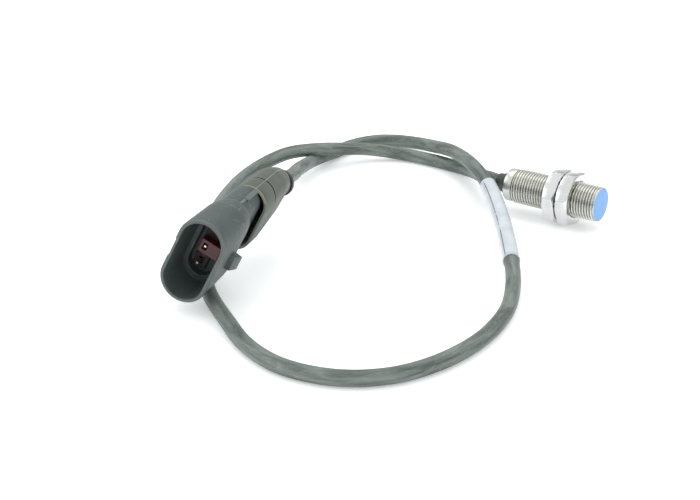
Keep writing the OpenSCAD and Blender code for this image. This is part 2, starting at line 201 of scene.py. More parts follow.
def metal(name, dark, light, rough=(0.18, 0.34), brushed=(1, 1, 1), grain=2600,
          depth=4e-6, worn=None, root_shade=None, **sockets):
    """Turned or plated metal with fine tool marks, small blemishes and painted shade in the thread.
    """
    s = Shader(name, metallic=1.0, **sockets)
    where = s.where(brushed)
    cloud = s.noise(s.where(), 160, 5, 0.6)
    lines = s.noise(where, grain, 4, 0.6)
    colour = s.ramp(cloud, [(0.3, dark), (0.72, light)])
    if worn:
        spots = s.mask(s.noise(s.where(), 900, 6, 0.7), 0.64, 0.74)
        colour = s.mix(spots, colour, worn)
    # painted shade: the colour darkens towards the thread's root radius, where the grooves lie in
    # shade
    if root_shade:
        place = s.node("SeparateXYZ", {"Vector": s.where()})
        across = s.maths("SUBTRACT", place.outputs["Z"], AXIS_Z * MM)
        squares = s.maths("ADD", s.maths("POWER", place.outputs["Y"], 2.0),
                          s.maths("POWER", across, 2.0))
        radius = s.maths("SQRT", squares)
        colour = s.mix(s.mask(radius, (ROOT_R + 0.36) * MM, (ROOT_R + 0.06) * MM), colour, root_shade)
    spread = s.node(
        "MapRange", {"Value": lines, "From Min": 0.3, "From Max": 0.7,
                     "To Min": rough[0], "To Max": rough[1]})
    s.link(colour, "Base Color")
    s.link(spread.outputs["Result"], "Roughness")
    s.link(s.bump(lines, depth), "Normal")
    return s.material


# ---------------------------------------------------------------- materials
# the last colour is painted shade for the thread roots
barrel_metal = metal("barrel_metal", (0.64, 0.64, 0.61), (0.78, 0.78, 0.75),
                     rough=(0.20, 0.34), brushed=(6, 1, 1), worn=(0.42, 0.41, 0.36),
                     root_shade=(0.30, 0.30, 0.25))
nut_metal = metal("nut_metal", (0.60, 0.605, 0.60), (0.73, 0.73, 0.73),
                  rough=(0.10, 0.22), brushed=(1, 1, 1), grain=1500)
washer_metal = metal("washer_metal", (0.20, 0.20, 0.19), (0.34, 0.33, 0.31), rough=(0.3, 0.5),
                     worn=(0.12, 0.11, 0.10))
terminal_metal = metal("terminal_metal", (0.62, 0.58, 0.50), (0.80, 0.77, 0.70),
                       rough=(0.15, 0.3))
copper_wire = metal("copper_wire", (0.60, 0.24, 0.10), (0.80, 0.36, 0.18),
                    rough=(0.25, 0.4), brushed=(14, 1, 1))
face_plastic = moulded("face_plastic", (0.14, 0.36, 0.76), (0.17, 0.41, 0.82),
                       rough=(0.32, 0.48), grain=5200, grain_depth=6e-6,
                       scuff=(0.20, 0.46, 0.90), scuff_share=0.66)
relief_rubber = moulded("relief_rubber", (0.030, 0.038, 0.036), (0.052, 0.064, 0.060),
                        rough=(0.45, 0.65))
connector_plastic = moulded("connector_plastic", (0.040, 0.055, 0.054), (0.070, 0.092, 0.089),
                            rough=(0.38, 0.62), grain=4200, grain_depth=9e-6, patches=95,
                            scuff=(0.150, 0.172, 0.160), scuff_share=0.57,
                            edge=(0.19, 0.22, 0.20))
boot_plastic = moulded("boot_plastic", (0.042, 0.052, 0.038), (0.110, 0.130, 0.108),
                       rough=(0.42, 0.66), grain=3600, grain_depth=1.2e-5, patches=120,
                       scuff=(0.15, 0.17, 0.14), scuff_share=0.61, edge=(0.22, 0.25, 0.21))
# painted light: the boot's inner walls are far paler than its outside, to lighten the shaded gap
boot_inside_painted_light = moulded("boot_inside_painted_light", (0.26, 0.32, 0.26), (0.34, 0.40, 0.34), rough=(0.5, 0.7))
# painted shade for the groove round the boot
boot_groove_shade = moulded("boot_groove_shade", (0.018, 0.022, 0.017), (0.034, 0.040, 0.032), rough=(0.6, 0.8))
# painted highlight for the upper side of the boot's front lip
boot_lip_highlight = moulded("boot_lip_highlight", (0.20, 0.20, 0.14), (0.32, 0.32, 0.23), rough=(0.4, 0.6))
boot_seam = moulded("boot_seam", (0.26, 0.28, 0.25), (0.38, 0.40, 0.36), rough=(0.35, 0.5))
lock_plastic = moulded("lock_plastic", (0.085, 0.005, 0.008), (0.165, 0.009, 0.012),
                       rough=(0.22, 0.4), grain=5000, grain_depth=6e-6)
# painted shade for the terminal lock's body, which lies deep in the cavity
lock_painted_shade = moulded("lock_painted_shade", (0.020, 0.012, 0.010), (0.040, 0.020, 0.018), rough=(0.4, 0.6))
seal_rubber = moulded("seal_rubber", (0.50, 0.10, 0.03), (0.62, 0.15, 0.05), rough=(0.4, 0.6))
ring_rubber = moulded("ring_rubber", (0.018, 0.022, 0.021), (0.034, 0.040, 0.038),
                      rough=(0.4, 0.6))
ferrite = moulded("ferrite", (0.035, 0.034, 0.036), (0.07, 0.068, 0.07), rough=(0.5, 0.8),
                  grain=7000, grain_depth=1e-5)
bobbin_plastic = moulded("bobbin_plastic", (0.66, 0.62, 0.50), (0.76, 0.72, 0.60),
                         rough=(0.35, 0.5))
board = moulded("board", (0.010, 0.10, 0.035), (0.016, 0.15, 0.05), rough=(0.25, 0.4),
                grain=2500, scuff=(0.05, 0.22, 0.10), scuff_share=0.6)
chip_plastic = moulded("chip_plastic", (0.014, 0.014, 0.015), (0.03, 0.03, 0.032),
                       rough=(0.45, 0.6), grain=9000, grain_depth=8e-6)
resin = moulded("resin", (0.22, 0.15, 0.06), (0.34, 0.24, 0.11), rough=(0.12, 0.25),
                grain=900, grain_depth=1e-5)
black_plastic = moulded("black_plastic", (0.016, 0.017, 0.018), (0.03, 0.032, 0.033),
                        rough=(0.4, 0.6))
core_brown = moulded("core_brown", (0.11, 0.045, 0.02), (0.17, 0.07, 0.03), rough=(0.3, 0.45))
core_black = moulded("core_black", (0.012, 0.012, 0.013), (0.028, 0.028, 0.03),
                     rough=(0.3, 0.45))
core_blue = moulded("core_blue", (0.02, 0.06, 0.32), (0.035, 0.10, 0.45), rough=(0.3, 0.45))


def cable_material():
    """Matte jacket: long soft streaks, rubbed patches and fine cross scratches."""
    s = Shader("cable_rubber", Specular_IOR_Level=0.45)
    streak = s.noise(s.where((60, 420, 1), uv=True), 1.0, 6, 0.6, 0.4)
    rubbed = s.noise(s.where((130, 300, 1), uv=True), 1.0, 9, 0.75, 1.6)
    grain = s.noise(s.where(), 5200, 3)
    scratch = s.noise(s.where((2400, 260, 1), uv=True), 1.0, 4, 0.7, 0.6)
    colour = s.ramp(streak, [(0.38, (0.078, 0.096, 0.088)), (0.62, (0.195, 0.225, 0.208))])
    worn = s.mask(rubbed, 0.54, 0.68)
    colour = s.mix(worn, colour, (0.240, 0.264, 0.245))
    fine = s.mask(scratch, 0.66, 0.74)
    colour = s.mix(s.maths("MULTIPLY", fine, 0.6), colour, (0.29, 0.31, 0.29))
    level = s.node("MapRange", {"Value": rubbed, "From Min": 0.35, "From Max": 0.7,
                                "To Min": 0.42, "To Max": 0.68})
    s.link(colour, "Base Color")
    s.link(level.outputs["Result"], "Roughness")
    normal = s.bump(grain, 1.2e-5)
    s.link(s.bump(rubbed, 3e-5, 0.7, normal), "Normal")
    return s.material


# ---------------------------------------------------------------- mesh helpers
def piece(name, points, faces, materials, body, replaced=(), slot=None, place=None,
          sharp=32, uvs=None, face_slots=None):
    """A closed mesh from points in mm, riding on a body."""
    co = np.array([tuple(p) for p in points], float)
    if place is not None:
        m = np.array(place)
        co = co @ m[:3, :3].T + m[:3, 3]
    mesh = bpy.data.meshes.new(name)
    mesh.from_pydata((co * MM).tolist(), [], faces)
    if uvs is not None:
        mesh.uv_layers.new(name="along").data.foreach_set("uv", np.array(uvs, float).ravel())
    if not isinstance(materials, (list, tuple)):
        materials = [materials]
    for material in materials:
        mesh.materials.append(material)
    if face_slots is not None:
        mesh.polygons.foreach_set("material_index", face_slots)
    obj = bpy.data.objects.new(name, mesh)
    bpy.context.scene.collection.objects.link(obj)
    tidy_mesh(obj, sharp)
    if body:
        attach(obj, body)
    if replaced:
        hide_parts(*replaced)
    return obj


def tidy_mesh(obj, sharp=32):
    """Merges doubled points, turns the faces outwards and marks the sharp edges."""
    bm = bmesh.new()
    bm.from_mesh(obj.data)
    bmesh.ops.remove_doubles(bm, verts=bm.verts, dist=2e-7)
    bmesh.ops.dissolve_degenerate(bm, edges=bm.edges, dist=1e-8)
    bmesh.ops.recalc_face_normals(bm, faces=bm.faces)
    limit = math.radians(sharp)
    for e in bm.edges:
        e.smooth = len(e.link_faces) == 2 and e.calc_face_angle(0) < limit
    for f in bm.faces:
        f.smooth = True
    bm.to_mesh(obj.data)
    bm.free()


def grid(rows, cols, close_rows=False, close_cols=True):
    faces = []
    for i in range(rows if close_rows else rows - 1):
        for j in range(cols if close_cols else cols - 1):
            k, n = (i + 1) % rows, (j + 1) % cols
            faces.append((i * cols + j, i * cols + n, k * cols + n, k * cols + j))
    return faces


def end_caps(rows, cols):
    """The two flat ends of an open grid whose columns close on themselves."""
    last = (rows - 1) * cols
    return [tuple(range(cols)), tuple(last + j for j in reversed(range(cols)))]


def grid_uvs(lengths, widths):
    """One (u, v) per face corner of an open grid whose columns close on themselves."""
    uvs = []
    for i in range(len(lengths) - 1):
        for j in range(len(widths) - 1):
            for a, b in ((i, j), (i, j + 1), (i + 1, j + 1), (i + 1, j)):
                uvs.append((lengths[a], widths[b]))
    return uvs


def rounded(points, radius, steps=3, closed=True):
    """A polyline with each corner replaced by a small curve."""
    pts = [np.array(p, float) for p in points]
    n = len(pts)
    out = []
    for i, p in enumerate(pts):
        if not closed and i in (0, n - 1):
            out.append(p)
            continue
        a, b = pts[i - 1] - p, pts[(i + 1) % n] - p
        la, lb = np.linalg.norm(a), np.linalg.norm(b)
        ra, rb = min(radius, la * 0.45), min(radius, lb * 0.45)
        start, end = p + a / la * ra, p + b / lb * rb
        for k in range(steps + 1):
            t = k / steps
            out.append(start * (1 - t) ** 2 + p * 2 * t * (1 - t) + end * t * t)
    return out


def lathe_points(profile, cols, turn=0.0):
    """Rings about the sensor's axis from (x, r) pairs."""
    points = []
    for x, r in profile:
        for j in range(cols):
            a = 2 * math.pi * j / cols + turn
            points.append((x, r * math.cos(a), r * math.sin(a)))
    return points


def lathe(name, profile, cols, material, body, replaced, slot, radius=0.12, steps=3, sharp=40):
    line = rounded(profile, radius, steps)
    return piece(name, lathe_points(line, cols), grid(len(line), cols, close_rows=True),
                 material, body, replaced, slot, sensor_place, sharp)


def stadium(w, h, arcs=26, sides=8):
    """Outline with its long width along Z and its short one along X, anticlockwise from +X."""
    r, half = h / 2, (w - h) / 2
    out = []
    for k in range(sides):
        out.append((r, -half + 2 * half * k / sides))
    for k in range(arcs):
        a = math.pi * k / arcs
        out.append((r * math.cos(a), half + r * math.sin(a)))
    for k in range(sides):
        out.append((-r, half - 2 * half * k / sides))
    for k in range(arcs):
        a = math.pi + math.pi * k / arcs
        out.append((r * math.cos(a), -half + r * math.sin(a)))
    return out


RING_COLS = len(stadium(10, 5))


def stations(rows):
    """Points of a loft through (t, w, h, shift, lift) sections."""
    points = []
    for t, w, h, shift, lift in rows:
        points += [(x + shift, t, z + lift) for x, z in stadium(w, h)]
    return points


def loft(name, rows, materials=(), body=None, **settings):
    """A solid through (t, w, h, shift, lift) sections, closed with flat ends."""
    faces = grid(len(rows), RING_COLS) + end_caps(len(rows), RING_COLS)
    return piece(name, stations(rows), faces, materials, body, place=connector_place, **settings)


def block(low, high, bevel=0.2, slopes=()):
    """A small bevelled box in the connector's frame; slopes moves named corners."""
    bm = bmesh.new()
    made = bmesh.ops.create_cube(bm, size=1)["verts"]
    low, high = Vector(low), Vector(high)
    for v in made:
        v.co = Vector((high[i] if v.co[i] > 0 else low[i]) for i in range(3))
    for test, move in slopes:
        for v in made:
            if test(v.co):
                v.co += Vector(move)
    bmesh.ops.bevel(bm, geom=bm.edges[:], offset=bevel, segments=3, profile=0.5,
                    affect="EDGES", clamp_overlap=True)
    mesh = bpy.data.meshes.new("block")
    bm.to_mesh(mesh)
    bm.free()
    mesh.transform(Matrix.Scale(MM, 4) @ connector_place)
    obj = bpy.data.objects.new("block", mesh)
    bpy.context.scene.collection.objects.link(obj)
    return obj


def rod(x, z, t0, t1, r, cols=28):
    """A plain round cutter along the connector's axis."""
    points = []
    for t in (t0, t1):
        for j in range(cols):
            a = 2 * math.pi * j / cols
            points.append((x + r * math.cos(a), t, z + r * math.sin(a)))
    faces = grid(2, cols) + end_caps(2, cols)
    return piece("cutter", points, faces, [], None, place=connector_place)


def carve(obj, others, operation, sharp=32):
    """Joins or cuts others, and removes them."""
    for other in others:
        modifier = obj.modifiers.new("cut", "BOOLEAN")
        modifier.operation = operation
        modifier.solver = "EXACT"
        modifier.object = other
    bpy.context.view_layer.update()
    evaluated = obj.evaluated_get(bpy.context.evaluated_depsgraph_get())
    made = bpy.data.meshes.new_from_object(evaluated)
    obj.modifiers.clear()
    old, obj.data = obj.data, made
    made.name = obj.name
    bpy.data.meshes.remove(old)
    for other in others:
        bpy.data.objects.remove(other)
    tidy_mesh(obj, sharp)


# ---------------------------------------------------------------- cable route, as in the CAD
LYING = CABLE_R
rearward = Vector((-math.sin(YAW), math.cos(YAW), 0))
ROUTE = [
    (-12.5, 0, AXIS_Z), (-17, 0, 9.2), (-23.8, 1.9, 8.9), (-30.4, 6.8, 7), (-37.8, 13.7, 4.7),
    (-47.8, 19.7, 2.7), (-60.8, 21.2, LYING), (-72.8, 19.7, 2.7), (-82.6, 13.2, 4.4),
    (-88.8, 3, 6.4), (-93.6, -9, 8.6), (-97.9, -19.3, 9.1), (-100.7, -30.1, 7.5),
    (-101.5, -40.3, 5.4), (-99.4, -51.8, 3.4), (-93.3, -66.2, LYING), (-82.2, -84, LYING),
    (-68.8, -101.3, LYING), (-54.4, -116.3, LYING), (-38.4, -127.9, LYING),
    (-22.8, -137.6, LYING), (-6.8, -141.8, LYING), (9.2, -138.3, LYING), (20.7, -128.3, LYING),
    (27.2, -113.3, LYING), (29.2, -95.3, LYING), (26.2, -76.3, LYING), (18.7, -58.8, 2.9),
    (8.2, -41.8, 3.9), (-5.3, -23.8, 7.2), (-18.8, -8.8, 10.6), (-32.8, 3.7, 11.8),
    (-48.3, 16.7, 9.6), (-61.8, 25.7, 6.2), (-74.3, 31.7, 3.4), (-85.3, 30.7, LYING),
    (-92.3, 22.2, LYING), (-94.8, 9.7, LYING), (-93.2, -8.1, 4.3), (-83.3, -30.6, 10),
    (-73.6, -47.6, 15), (-70, -54.8, 17.1),
] + [tuple(MOUTH + rearward * (BOOT_END + t)) for t in (2, -4, -10, -16)]
route = np.array(ROUTE, float)


def route_at(u):
    i = min(int(u), len(route) - 2)
    t = u - i
    a, b, c, d = (route[min(max(k, 0), len(route) - 1)] for k in (i - 1, i, i + 1, i + 2))
    p = 0.5 * (2 * b + (c - a) * t + (2 * a - 5 * b + 4 * c - d) * t * t
               + (3 * b - a - 3 * c + d) * t ** 3)
    return np.array((p[0], p[1], max(p[2], LYING)))


def route_frame(u):
    """Centre, sideways and upward directions at a place on the route."""
    ahead = route_at(min(u + 0.02, len(route) - 1))
    behind = route_at(max(u - 0.02, 0))
    along = (ahead - behind) / np.linalg.norm(ahead - behind)
    side = np.cross(along, (0, 0, 1))
    side /= np.linalg.norm(side)
    return route_at(u), side, np.cross(side, along)


def tube_rings(us, radius_at, cols):
    points, centres = [], []
    for u in us:
        centre, side, up = route_frame(u)
        centres.append(centre)
        for j in range(cols):
            a = 2 * math.pi * j / cols
            r = radius_at(u, a)
            points.append(centre + r * (math.cos(a) * side + math.sin(a) * up))
    return points, centres


def lengths_of(centres):
    steps = np.linalg.norm(np.diff(np.array(centres), axis=0), axis=1)
    return np.concatenate([[0], np.cumsum(steps)])


CABLE_COLS = 32
CABLE_STEPS = 16
cable_us = np.linspace(0, len(route) - 1, (len(route) - 1) * CABLE_STEPS + 1)


def cable_radius(u, a):
    """The jacket's radius, a few hundredths of a millimetre uneven."""
    wave = math.sin(u * 5.3 + 2 * a) + math.sin(u * 2.1 - a) + math.sin(u * 11.7 + 3 * a)
    return CABLE_R - 0.012 + 0.006 * wave


cable_points, cable_centres = tube_rings(cable_us, cable_radius, CABLE_COLS)
cable_lengths = lengths_of(cable_centres) * MM
around = [2 * math.pi * CABLE_R * MM * j / CABLE_COLS for j in range(CABLE_COLS + 1)]
cable_faces = grid(len(cable_us), CABLE_COLS) + end_caps(len(cable_us), CABLE_COLS)
cable_uvs = grid_uvs(cable_lengths, around) + [(0.0, 0.0)] * (2 * CABLE_COLS)
cable = piece("cable", cable_points, cable_faces, cable_material(), "sensor_body",
              ["cable_jacket"], "cable_rubber", uvs=cable_uvs, sharp=50)

# ---------------------------------------------------------------- label sleeve
LABEL_COLS = 40
LABEL_ROWS = 61
SEAM = 4.1            # where the wrap overlaps itself, in radians round the cable
label_us = np.linspace(LABEL_START, LABEL_END, LABEL_ROWS)
label_len = lengths_of(tube_rings(label_us, lambda u, a: 0, 1)[1])[-1]


def label_radius(a):
    turn = ((a - SEAM) % (2 * math.pi)) / (2 * math.pi)
    return LABEL_R + LABEL_OVERLAP * turn


def sleeve_rings(us, radius_at):
    return tube_rings(us, lambda u, a: radius_at(a), LABEL_COLS)[0]


inner = sleeve_rings(label_us[::-1], lambda a: LABEL_BORE_R)
outer = sleeve_rings(label_us, label_radius)
outer_lengths = list(label_len * np.arange(LABEL_ROWS) / (LABEL_ROWS - 1))
row_lengths = outer_lengths + outer_lengths[::-1] + [0.0]
LABEL_GIRTH = 2 * math.pi * 2.8
label_around = [j * LABEL_GIRTH / LABEL_COLS for j in range(LABEL_COLS + 1)]
label_faces = grid(2 * LABEL_ROWS, LABEL_COLS, close_rows=True)
label_uvs = grid_uvs(row_lengths, label_around)
FRAME_INSET = 1.1     # from the label's end to the printed line
FRAME_SIDE = LABEL_GIRTH * 0.38


def label_material():
    """White vinyl under clear film, with a thin printed frame that is partly rubbed off."""
    s = Shader("label_vinyl", rough=0.3, Coat_Weight=0.35, Coat_Roughness=0.12)
    coordinates = s.node("SeparateXYZ", {"Vector": s.where((1, 1, 1), uv=True)})
    u, v = coordinates.outputs["X"], coordinates.outputs["Y"]
    cloud = s.noise(s.where(), 210, 5)
    colour = s.ramp(cloud, [(0.3, (0.48, 0.53, 0.57)), (0.7, (0.60, 0.65, 0.69))])
    half = label_len / 2
    from_middle = s.maths("ABSOLUTE", s.maths("SUBTRACT", u, half))
    end_line = s.maths("ABSOLUTE", s.maths("SUBTRACT", from_middle, half - FRAME_INSET))
    side_line = s.maths("ABSOLUTE", s.maths("SUBTRACT", v, FRAME_SIDE))
    near_end = s.maths("LESS_THAN", end_line, 0.13)
    inside = s.maths("LESS_THAN", from_middle, half - FRAME_INSET + 0.1)
    near_side = s.maths("MULTIPLY", s.maths("LESS_THAN", side_line, 0.16), inside)
    drawn = s.maths("MAXIMUM", s.maths("MULTIPLY", near_end, 0.8), near_side)
    kept = s.mask(s.noise(s.where(), 130, 3), 0.36, 0.46)
    drawn = s.maths("MULTIPLY", drawn, kept)
    colour = s.mix(drawn, colour, (0.08, 0.09, 0.11))
    s.link(colour, "Base Color")
    s.link(s.bump(s.noise(s.where(), 700, 4), 2.5e-5), "Normal")
    return s.material


piece("label", outer + inner, label_faces, label_material(), "sensor_body",
      ["cable_label"], "label_vinyl", uvs=label_uvs, sharp=35)


# ---------------------------------------------------------------- barrel with its helical thread
def thread_radius(x, a):
    """The helix's radius, one turn a millimetre, run out at both ends."""
    phase = (x - THREAD_X0) - a / (2 * math.pi)
    saw = abs(2 * (phase - math.floor(phase)) - 1)
    rise = min(max((saw - 0.24) / 0.60, 0), 1)
    rise = 0.65 * rise + 0.35 * rise * rise * (3 - 2 * rise)
    r = ROOT_R + (CREST_R - ROOT_R) * rise
    r = min(r, ROOT_R - 0.05 + (x - THREAD_X0) * 1.2)
    return min(r, 5.68 + (FACE_X - x) * 0.9)


BARREL_COLS = 96
THREAD_STEPS = 12              # rows along one turn
thread_xs = list(np.arange(THREAD_X0, FACE_X - 0.06, 1 / THREAD_STEPS))
barrel_rows = [(FACE_X - 1, BORE_R), (BARREL_X0 + 0.2, BORE_R), (BARREL_X0, BORE_R + 0.2),
               (BARREL_X0, COLLAR_R - 0.3), (BARREL_X0 + 0.08, COLLAR_R - 0.1),
               (BARREL_X0 + 0.3, COLLAR_R), (THREAD_X0 - 0.25, COLLAR_R),
               (THREAD_X0 - 0.1, COLLAR_R - 0.06), (THREAD_X0 - 0.02, COLLAR_R - 0.2)]
barrel_points = lathe_points(barrel_rows, BARREL_COLS)
for x in thread_xs:
    for j in range(BARREL_COLS):
        a = 2 * math.pi * j / BARREL_COLS
        r = thread_radius(x, a)
        barrel_points.append((x, r * math.cos(a), r * math.sin(a)))
front_rows = [(FACE_X - 0.03, 5.70), (FACE_X, 5.67), (FACE_X, FACE_R + 0.03),
              (FACE_X - 1, FACE_R + 0.02)]
barrel_points += lathe_points(front_rows, BARREL_COLS)
barrel_count = len(barrel_rows) + len(thread_xs) + len(front_rows)
piece("threaded_barrel", barrel_points, grid(barrel_count, BARREL_COLS, close_rows=True),
      barrel_metal, "sensor_body", ["barrel"], "barrel_metal", sensor_place, sharp=38)

lathe("sensing_face", [(11.5, 4.45), (11.5, 4.95), (18.5, 4.95), (18.5, FACE_R),
                       (FACE_X, FACE_R), (FACE_X, 0), (18.5, 0), (18.5, 4.45)],
      72, face_plastic, "sensor_body", ["sensing_cap"], "face_plastic", radius=0.14)
lathe("cable_relief", [(-19.5, 2.45), (-19.5, 2.85), (-19.1, 3.05), (-17.6, 3.15),
                       (-16.0, 4.05), (-15.5, 4.4), (-15.01, 4.4), (-15.01, 3.6),
                       (-12.0, 3.6), (-12.0, 2.45)],
      56, relief_rubber, "sensor_body", ["strain_relief"], "relief_rubber", radius=0.35, steps=4)


# ---------------------------------------------------------------- nuts and washers
def hex_radius(a):
    """The hexagon's radius at an angle, with its corners cut back a little."""
    return min(NUT_AF / 2 / math.cos((a % (math.pi / 3)) - math.pi / 6), NUT_CORNER_R - 0.07)


def nut(name, x0, body, replaced):
    chamfer_r, bore = NUT_AF / 2 * 0.995, CREST_R + 0.06
    cols = 180
    columns = []
    for j in range(cols):
        a = 2 * math.pi * j / cols
        flat = hex_radius(a + NUT_TURN)
        rise = max(flat - chamfer_r, 0.05) * math.tan(math.radians(30))
        line = [(0.5, bore), (0.0, bore + 0.55), (0.0, chamfer_r), (rise, flat),
                (NUT_H - rise, flat), (NUT_H, chamfer_r), (NUT_H, bore + 0.55),
                (NUT_H - 0.5, bore)]
        columns.append([(x0 + x, r * math.cos(a), r * math.sin(a))
                        for x, r in rounded(line, 0.10, 2)])
    rows = len(columns[0])
    points = [columns[j][i] for i in range(rows) for j in range(cols)]
    piece(name, points, grid(rows, cols, close_rows=True), nut_metal, body, replaced,
          "nut_metal", sensor_place, sharp=24)


nut("hex_nut_front", 6.5, "front_nut", ["front_nut"])
nut("hex_nut_rear", 1.5, "rear_nut", ["rear_nut"])


def washer(name, x0, body, replaced):
    """A flat ring with teeth that are each twisted a little out of its plane."""
    teeth, inner_r, base_r, tip_r = 24, 6.22, 7.25, 8.28
    half, twist = 0.08, 0.045
    step = 2 * math.pi / teeth
    tooth = step * 0.30
    points, faces = [], []

    def at(r, a, x):
        points.append((x0 + 0.125 + x, r * math.cos(a), r * math.sin(a)))
        return len(points) - 1

    edges = []
    for i in range(teeth):
        for a in (i * step - tooth, i * step + tooth):
            edges.append([at(inner_r, a, -half), at(inner_r, a, half),
                          at(base_r, a, -half), at(base_r, a, half)])
    for i in range(2 * teeth):
        p, q = edges[i], edges[(i + 1) % (2 * teeth)]
        faces += [(p[0], p[1], q[1], q[0]), (p[0], q[0], q[2], p[2]), (p[1], p[3], q[3], q[1])]
        if i % 2:
            faces.append((p[2], q[2], q[3], p[3]))
            continue
        a = (i // 2) * step
        s = [at(tip_r, a - tooth * 0.85, -half - twist), at(tip_r, a - tooth * 0.85, half - twist)]
        e = [at(tip_r, a + tooth * 0.85, -half + twist), at(tip_r, a + tooth * 0.85, half + twist)]
        faces += [(p[2], q[2], e[0], s[0]), (p[3], s[1], e[1], q[3]),
                  (p[2], s[0], s[1], p[3]), (q[2], q[3], e[1], e[0]), (s[0], e[0], e[1], s[1])]
    piece(name, points, faces, washer_metal, body, replaced, "washer_metal", sensor_place, sharp=25)


washer("lock_washer_front", 6.25, "front_washer", ["front_washer"])
washer("lock_washer_rear", 6.0, "rear_washer", ["rear_washer"])

# ---------------------------------------------------------------- connector shell
MOUTH_W, MOUTH_H = 26.2, 12.6      # the opening just inside the rim


def between(t, t0, a, t1, b):
    """Section sizes at t, on the straight line between two given ones."""
    k = (t - t0) / (t1 - t0)
    return tuple(p + (q - p) * k for p, q in zip(a, b))


shell_rows = [
    (15.0, 21.0, 8.4, 0, 0), (14.9, 21.15, 8.55, 0, 0), (12.4, 21.2, 8.6, 0, 0),
    (12.15, 21.3, 8.7, 0, 0), (12.05, 21.6, 9.0, 0, 0), (12.05, 23.7, 11.1, 0, 0),
    (11.9, 24.05, 11.45, 0, 0), (11.6, 24.25, 11.62, 0, 0),
]
shell_rows += [(t, *between(t, 0.5, (MOUTH_W, MOUTH_H), 12, (24.2, 11.6)), 0, 0)
               for t in (9, 6, 3, 0.9)]
shell_rows += [(0.4, 26.3, 12.7, 0, 0), (0.12, 26.5, 12.9, 0, 0), (0.0, 26.9, 13.3, 0, 0),
               (0.0, 27.7, 14.1, 0, 0), (0.12, 28.3, 14.7, 0, 0), (0.45, 28.65, 15.05, 0, 0),
               (0.9, 28.75, 15.14, 0, 0)]
shell_rows += [(t, *between(t, 0, (28.8, 15.2), 17, (27.3, 14.6)), 0, 0)
               for t in (2, 4, 6, 8, 10, 12, 14, 16)]
shell_rows += [(16.9, 27.25, 14.55, 0, 0), (18.2, 26.85, 14.2, 0, 0.08),
               (19.6, 26.2, 13.6, 0, 0.2), (20.9, 25.5, 13.0, 0, 0.3), (22.0, 24.8, 12.4, 0, 0.37),
               (22.4, 24.4, 12.1, 0, 0.4), (22.52, 23.9, 11.6, 0, 0.4),
               (22.52, 20.6, 8.6, -0.4, 0.2),
               (22.7, 19.7, 7.7, -0.8, 0), (25, 19.6, 7.6, -0.8, 0), (33, 19.6, 7.6, -0.8, 0),
               (41.6, 19.6, 7.6, -0.8, 0), (41.9, 19.4, 7.4, -0.8, 0), (42.0, 19.0, 7.0, -0.8, 0)]
shell = loft("connector_housing", shell_rows, connector_plastic, "sensor_body",
             replaced=["connector_shell"], slot="connector_plastic")
collar = loft("collar", [(21, 19.8, 9.8, -1.2, 1.47), (35.3, 19.8, 9.8, -1.2, 1.47),
                         (35.52, 19.65, 9.65, -1.2, 1.47), (35.6, 19.3, 9.3, -1.2, 1.47)])
wedge = block((6.4, 10, -2.5), (10.3, 14, 2.5), 0.28,
              [(lambda c: c.x > 9 and c.y < 11, (-1.3, 0.5, 0)),
               (lambda c: c.x > 9 and c.y > 13, (0, -0.5, 0))])
rib = block((-0.3, 28, 9.0), (1.3, 35.6, 11.7), 0.3)
carve(shell, [collar, wedge, rib], "UNION")
recess = block((-8.6, -1, -2.8), (-7.15, 12, 4.0), 0.12)
carve(shell, [recess], "DIFFERENCE")


def terminal_way(pin, t0, t1, half_x, half_z, bevel):
    """A square way for a terminal or its blade."""
    return block((CORE_SHIFT - half_x, t0, pin - half_z), (CORE_SHIFT + half_x, t1, pin + half_z),
                 bevel)


ways = []
for pin in (-PIN_PITCH, 0, PIN_PITCH):
    ways.append(terminal_way(pin, 17, 35.5, 1.35, 1.35, 0.05))
    ways.append(terminal_way(pin, 14, 18, 0.45, 0.8, 0.02))
    ways.append(rod(CORE_SHIFT, pin, 34.5, 43, 2.65))
carve(shell, ways, "DIFFERENCE")

# ---------------------------------------------------------------- boot
STEP = (8.7, (22.9, 11.7, 0, 0))
MIDDLE = (20, (17.5, 11.4, -0.45, 1.3))
TAIL = (29, (10.5, 9.4, -0.7, 1.5))
CUFF_BORE = (29.4, (5.5, 5.5, 0, 0))
MIDDLE_INSIDE = (20, (15.5, 9.4, -0.45, 1.3))
RIM_INSIDE = (8.7, (21.6, 10.2, 0, 0))


def body_rows(ts, first, second):
    """Rows of the boot's body between two of its sections."""
    return [(t, *between(t, first[0], first[1], second[0], second[1])) for t in ts]


boot_rows = [(BOOT_LEN, 5.5, 5.5, 0, 0)]
boot_rows += body_rows((29.4, 27, 24, 21), CUFF_BORE, MIDDLE_INSIDE)
boot_rows += body_rows((20, 17, 14, 11), MIDDLE_INSIDE, RIM_INSIDE)
boot_rows += [(8.6, 21.6, 10.2, 0, 0), (4, 21.6, 10.2, 0, 0), (0.5, 21.6, 10.2, 0, 0),
              (0.12, 21.75, 10.35, 0, 0), (0.0, 22.1, 10.7, 0, 0), (0.0, 22.95, 11.55, 0, 0),
              (0.08, 23.25, 11.85, 0, 0), (0.28, 23.4, 12.0, 0, 0)]
inside_count = len(boot_rows)
boot_rows += [(t, 23.4, 12.0, 0, 0) for t in (1.2, 4, 7.0)]
boot_rows += [(7.35, 23.3, 11.9, 0, 0), (7.47, 22.9, 11.5, 0, 0), (7.53, 22.25, 10.85, 0, 0),
              (8.62, 22.25, 10.85, 0, 0), (8.7, 22.6, 11.3, 0, 0), (8.95, 22.8, 11.6, 0, 0.02)]
boot_rows += body_rows((9.6, 12, 14, 16, 18), STEP, MIDDLE)
boot_rows += [(19.4, 17.75, 11.42, -0.42, 1.24), (20.8, 16.85, 11.25, -0.47, 1.33)]
boot_rows += body_rows((22.5, 24.5, 26.5, 28), MIDDLE, TAIL)
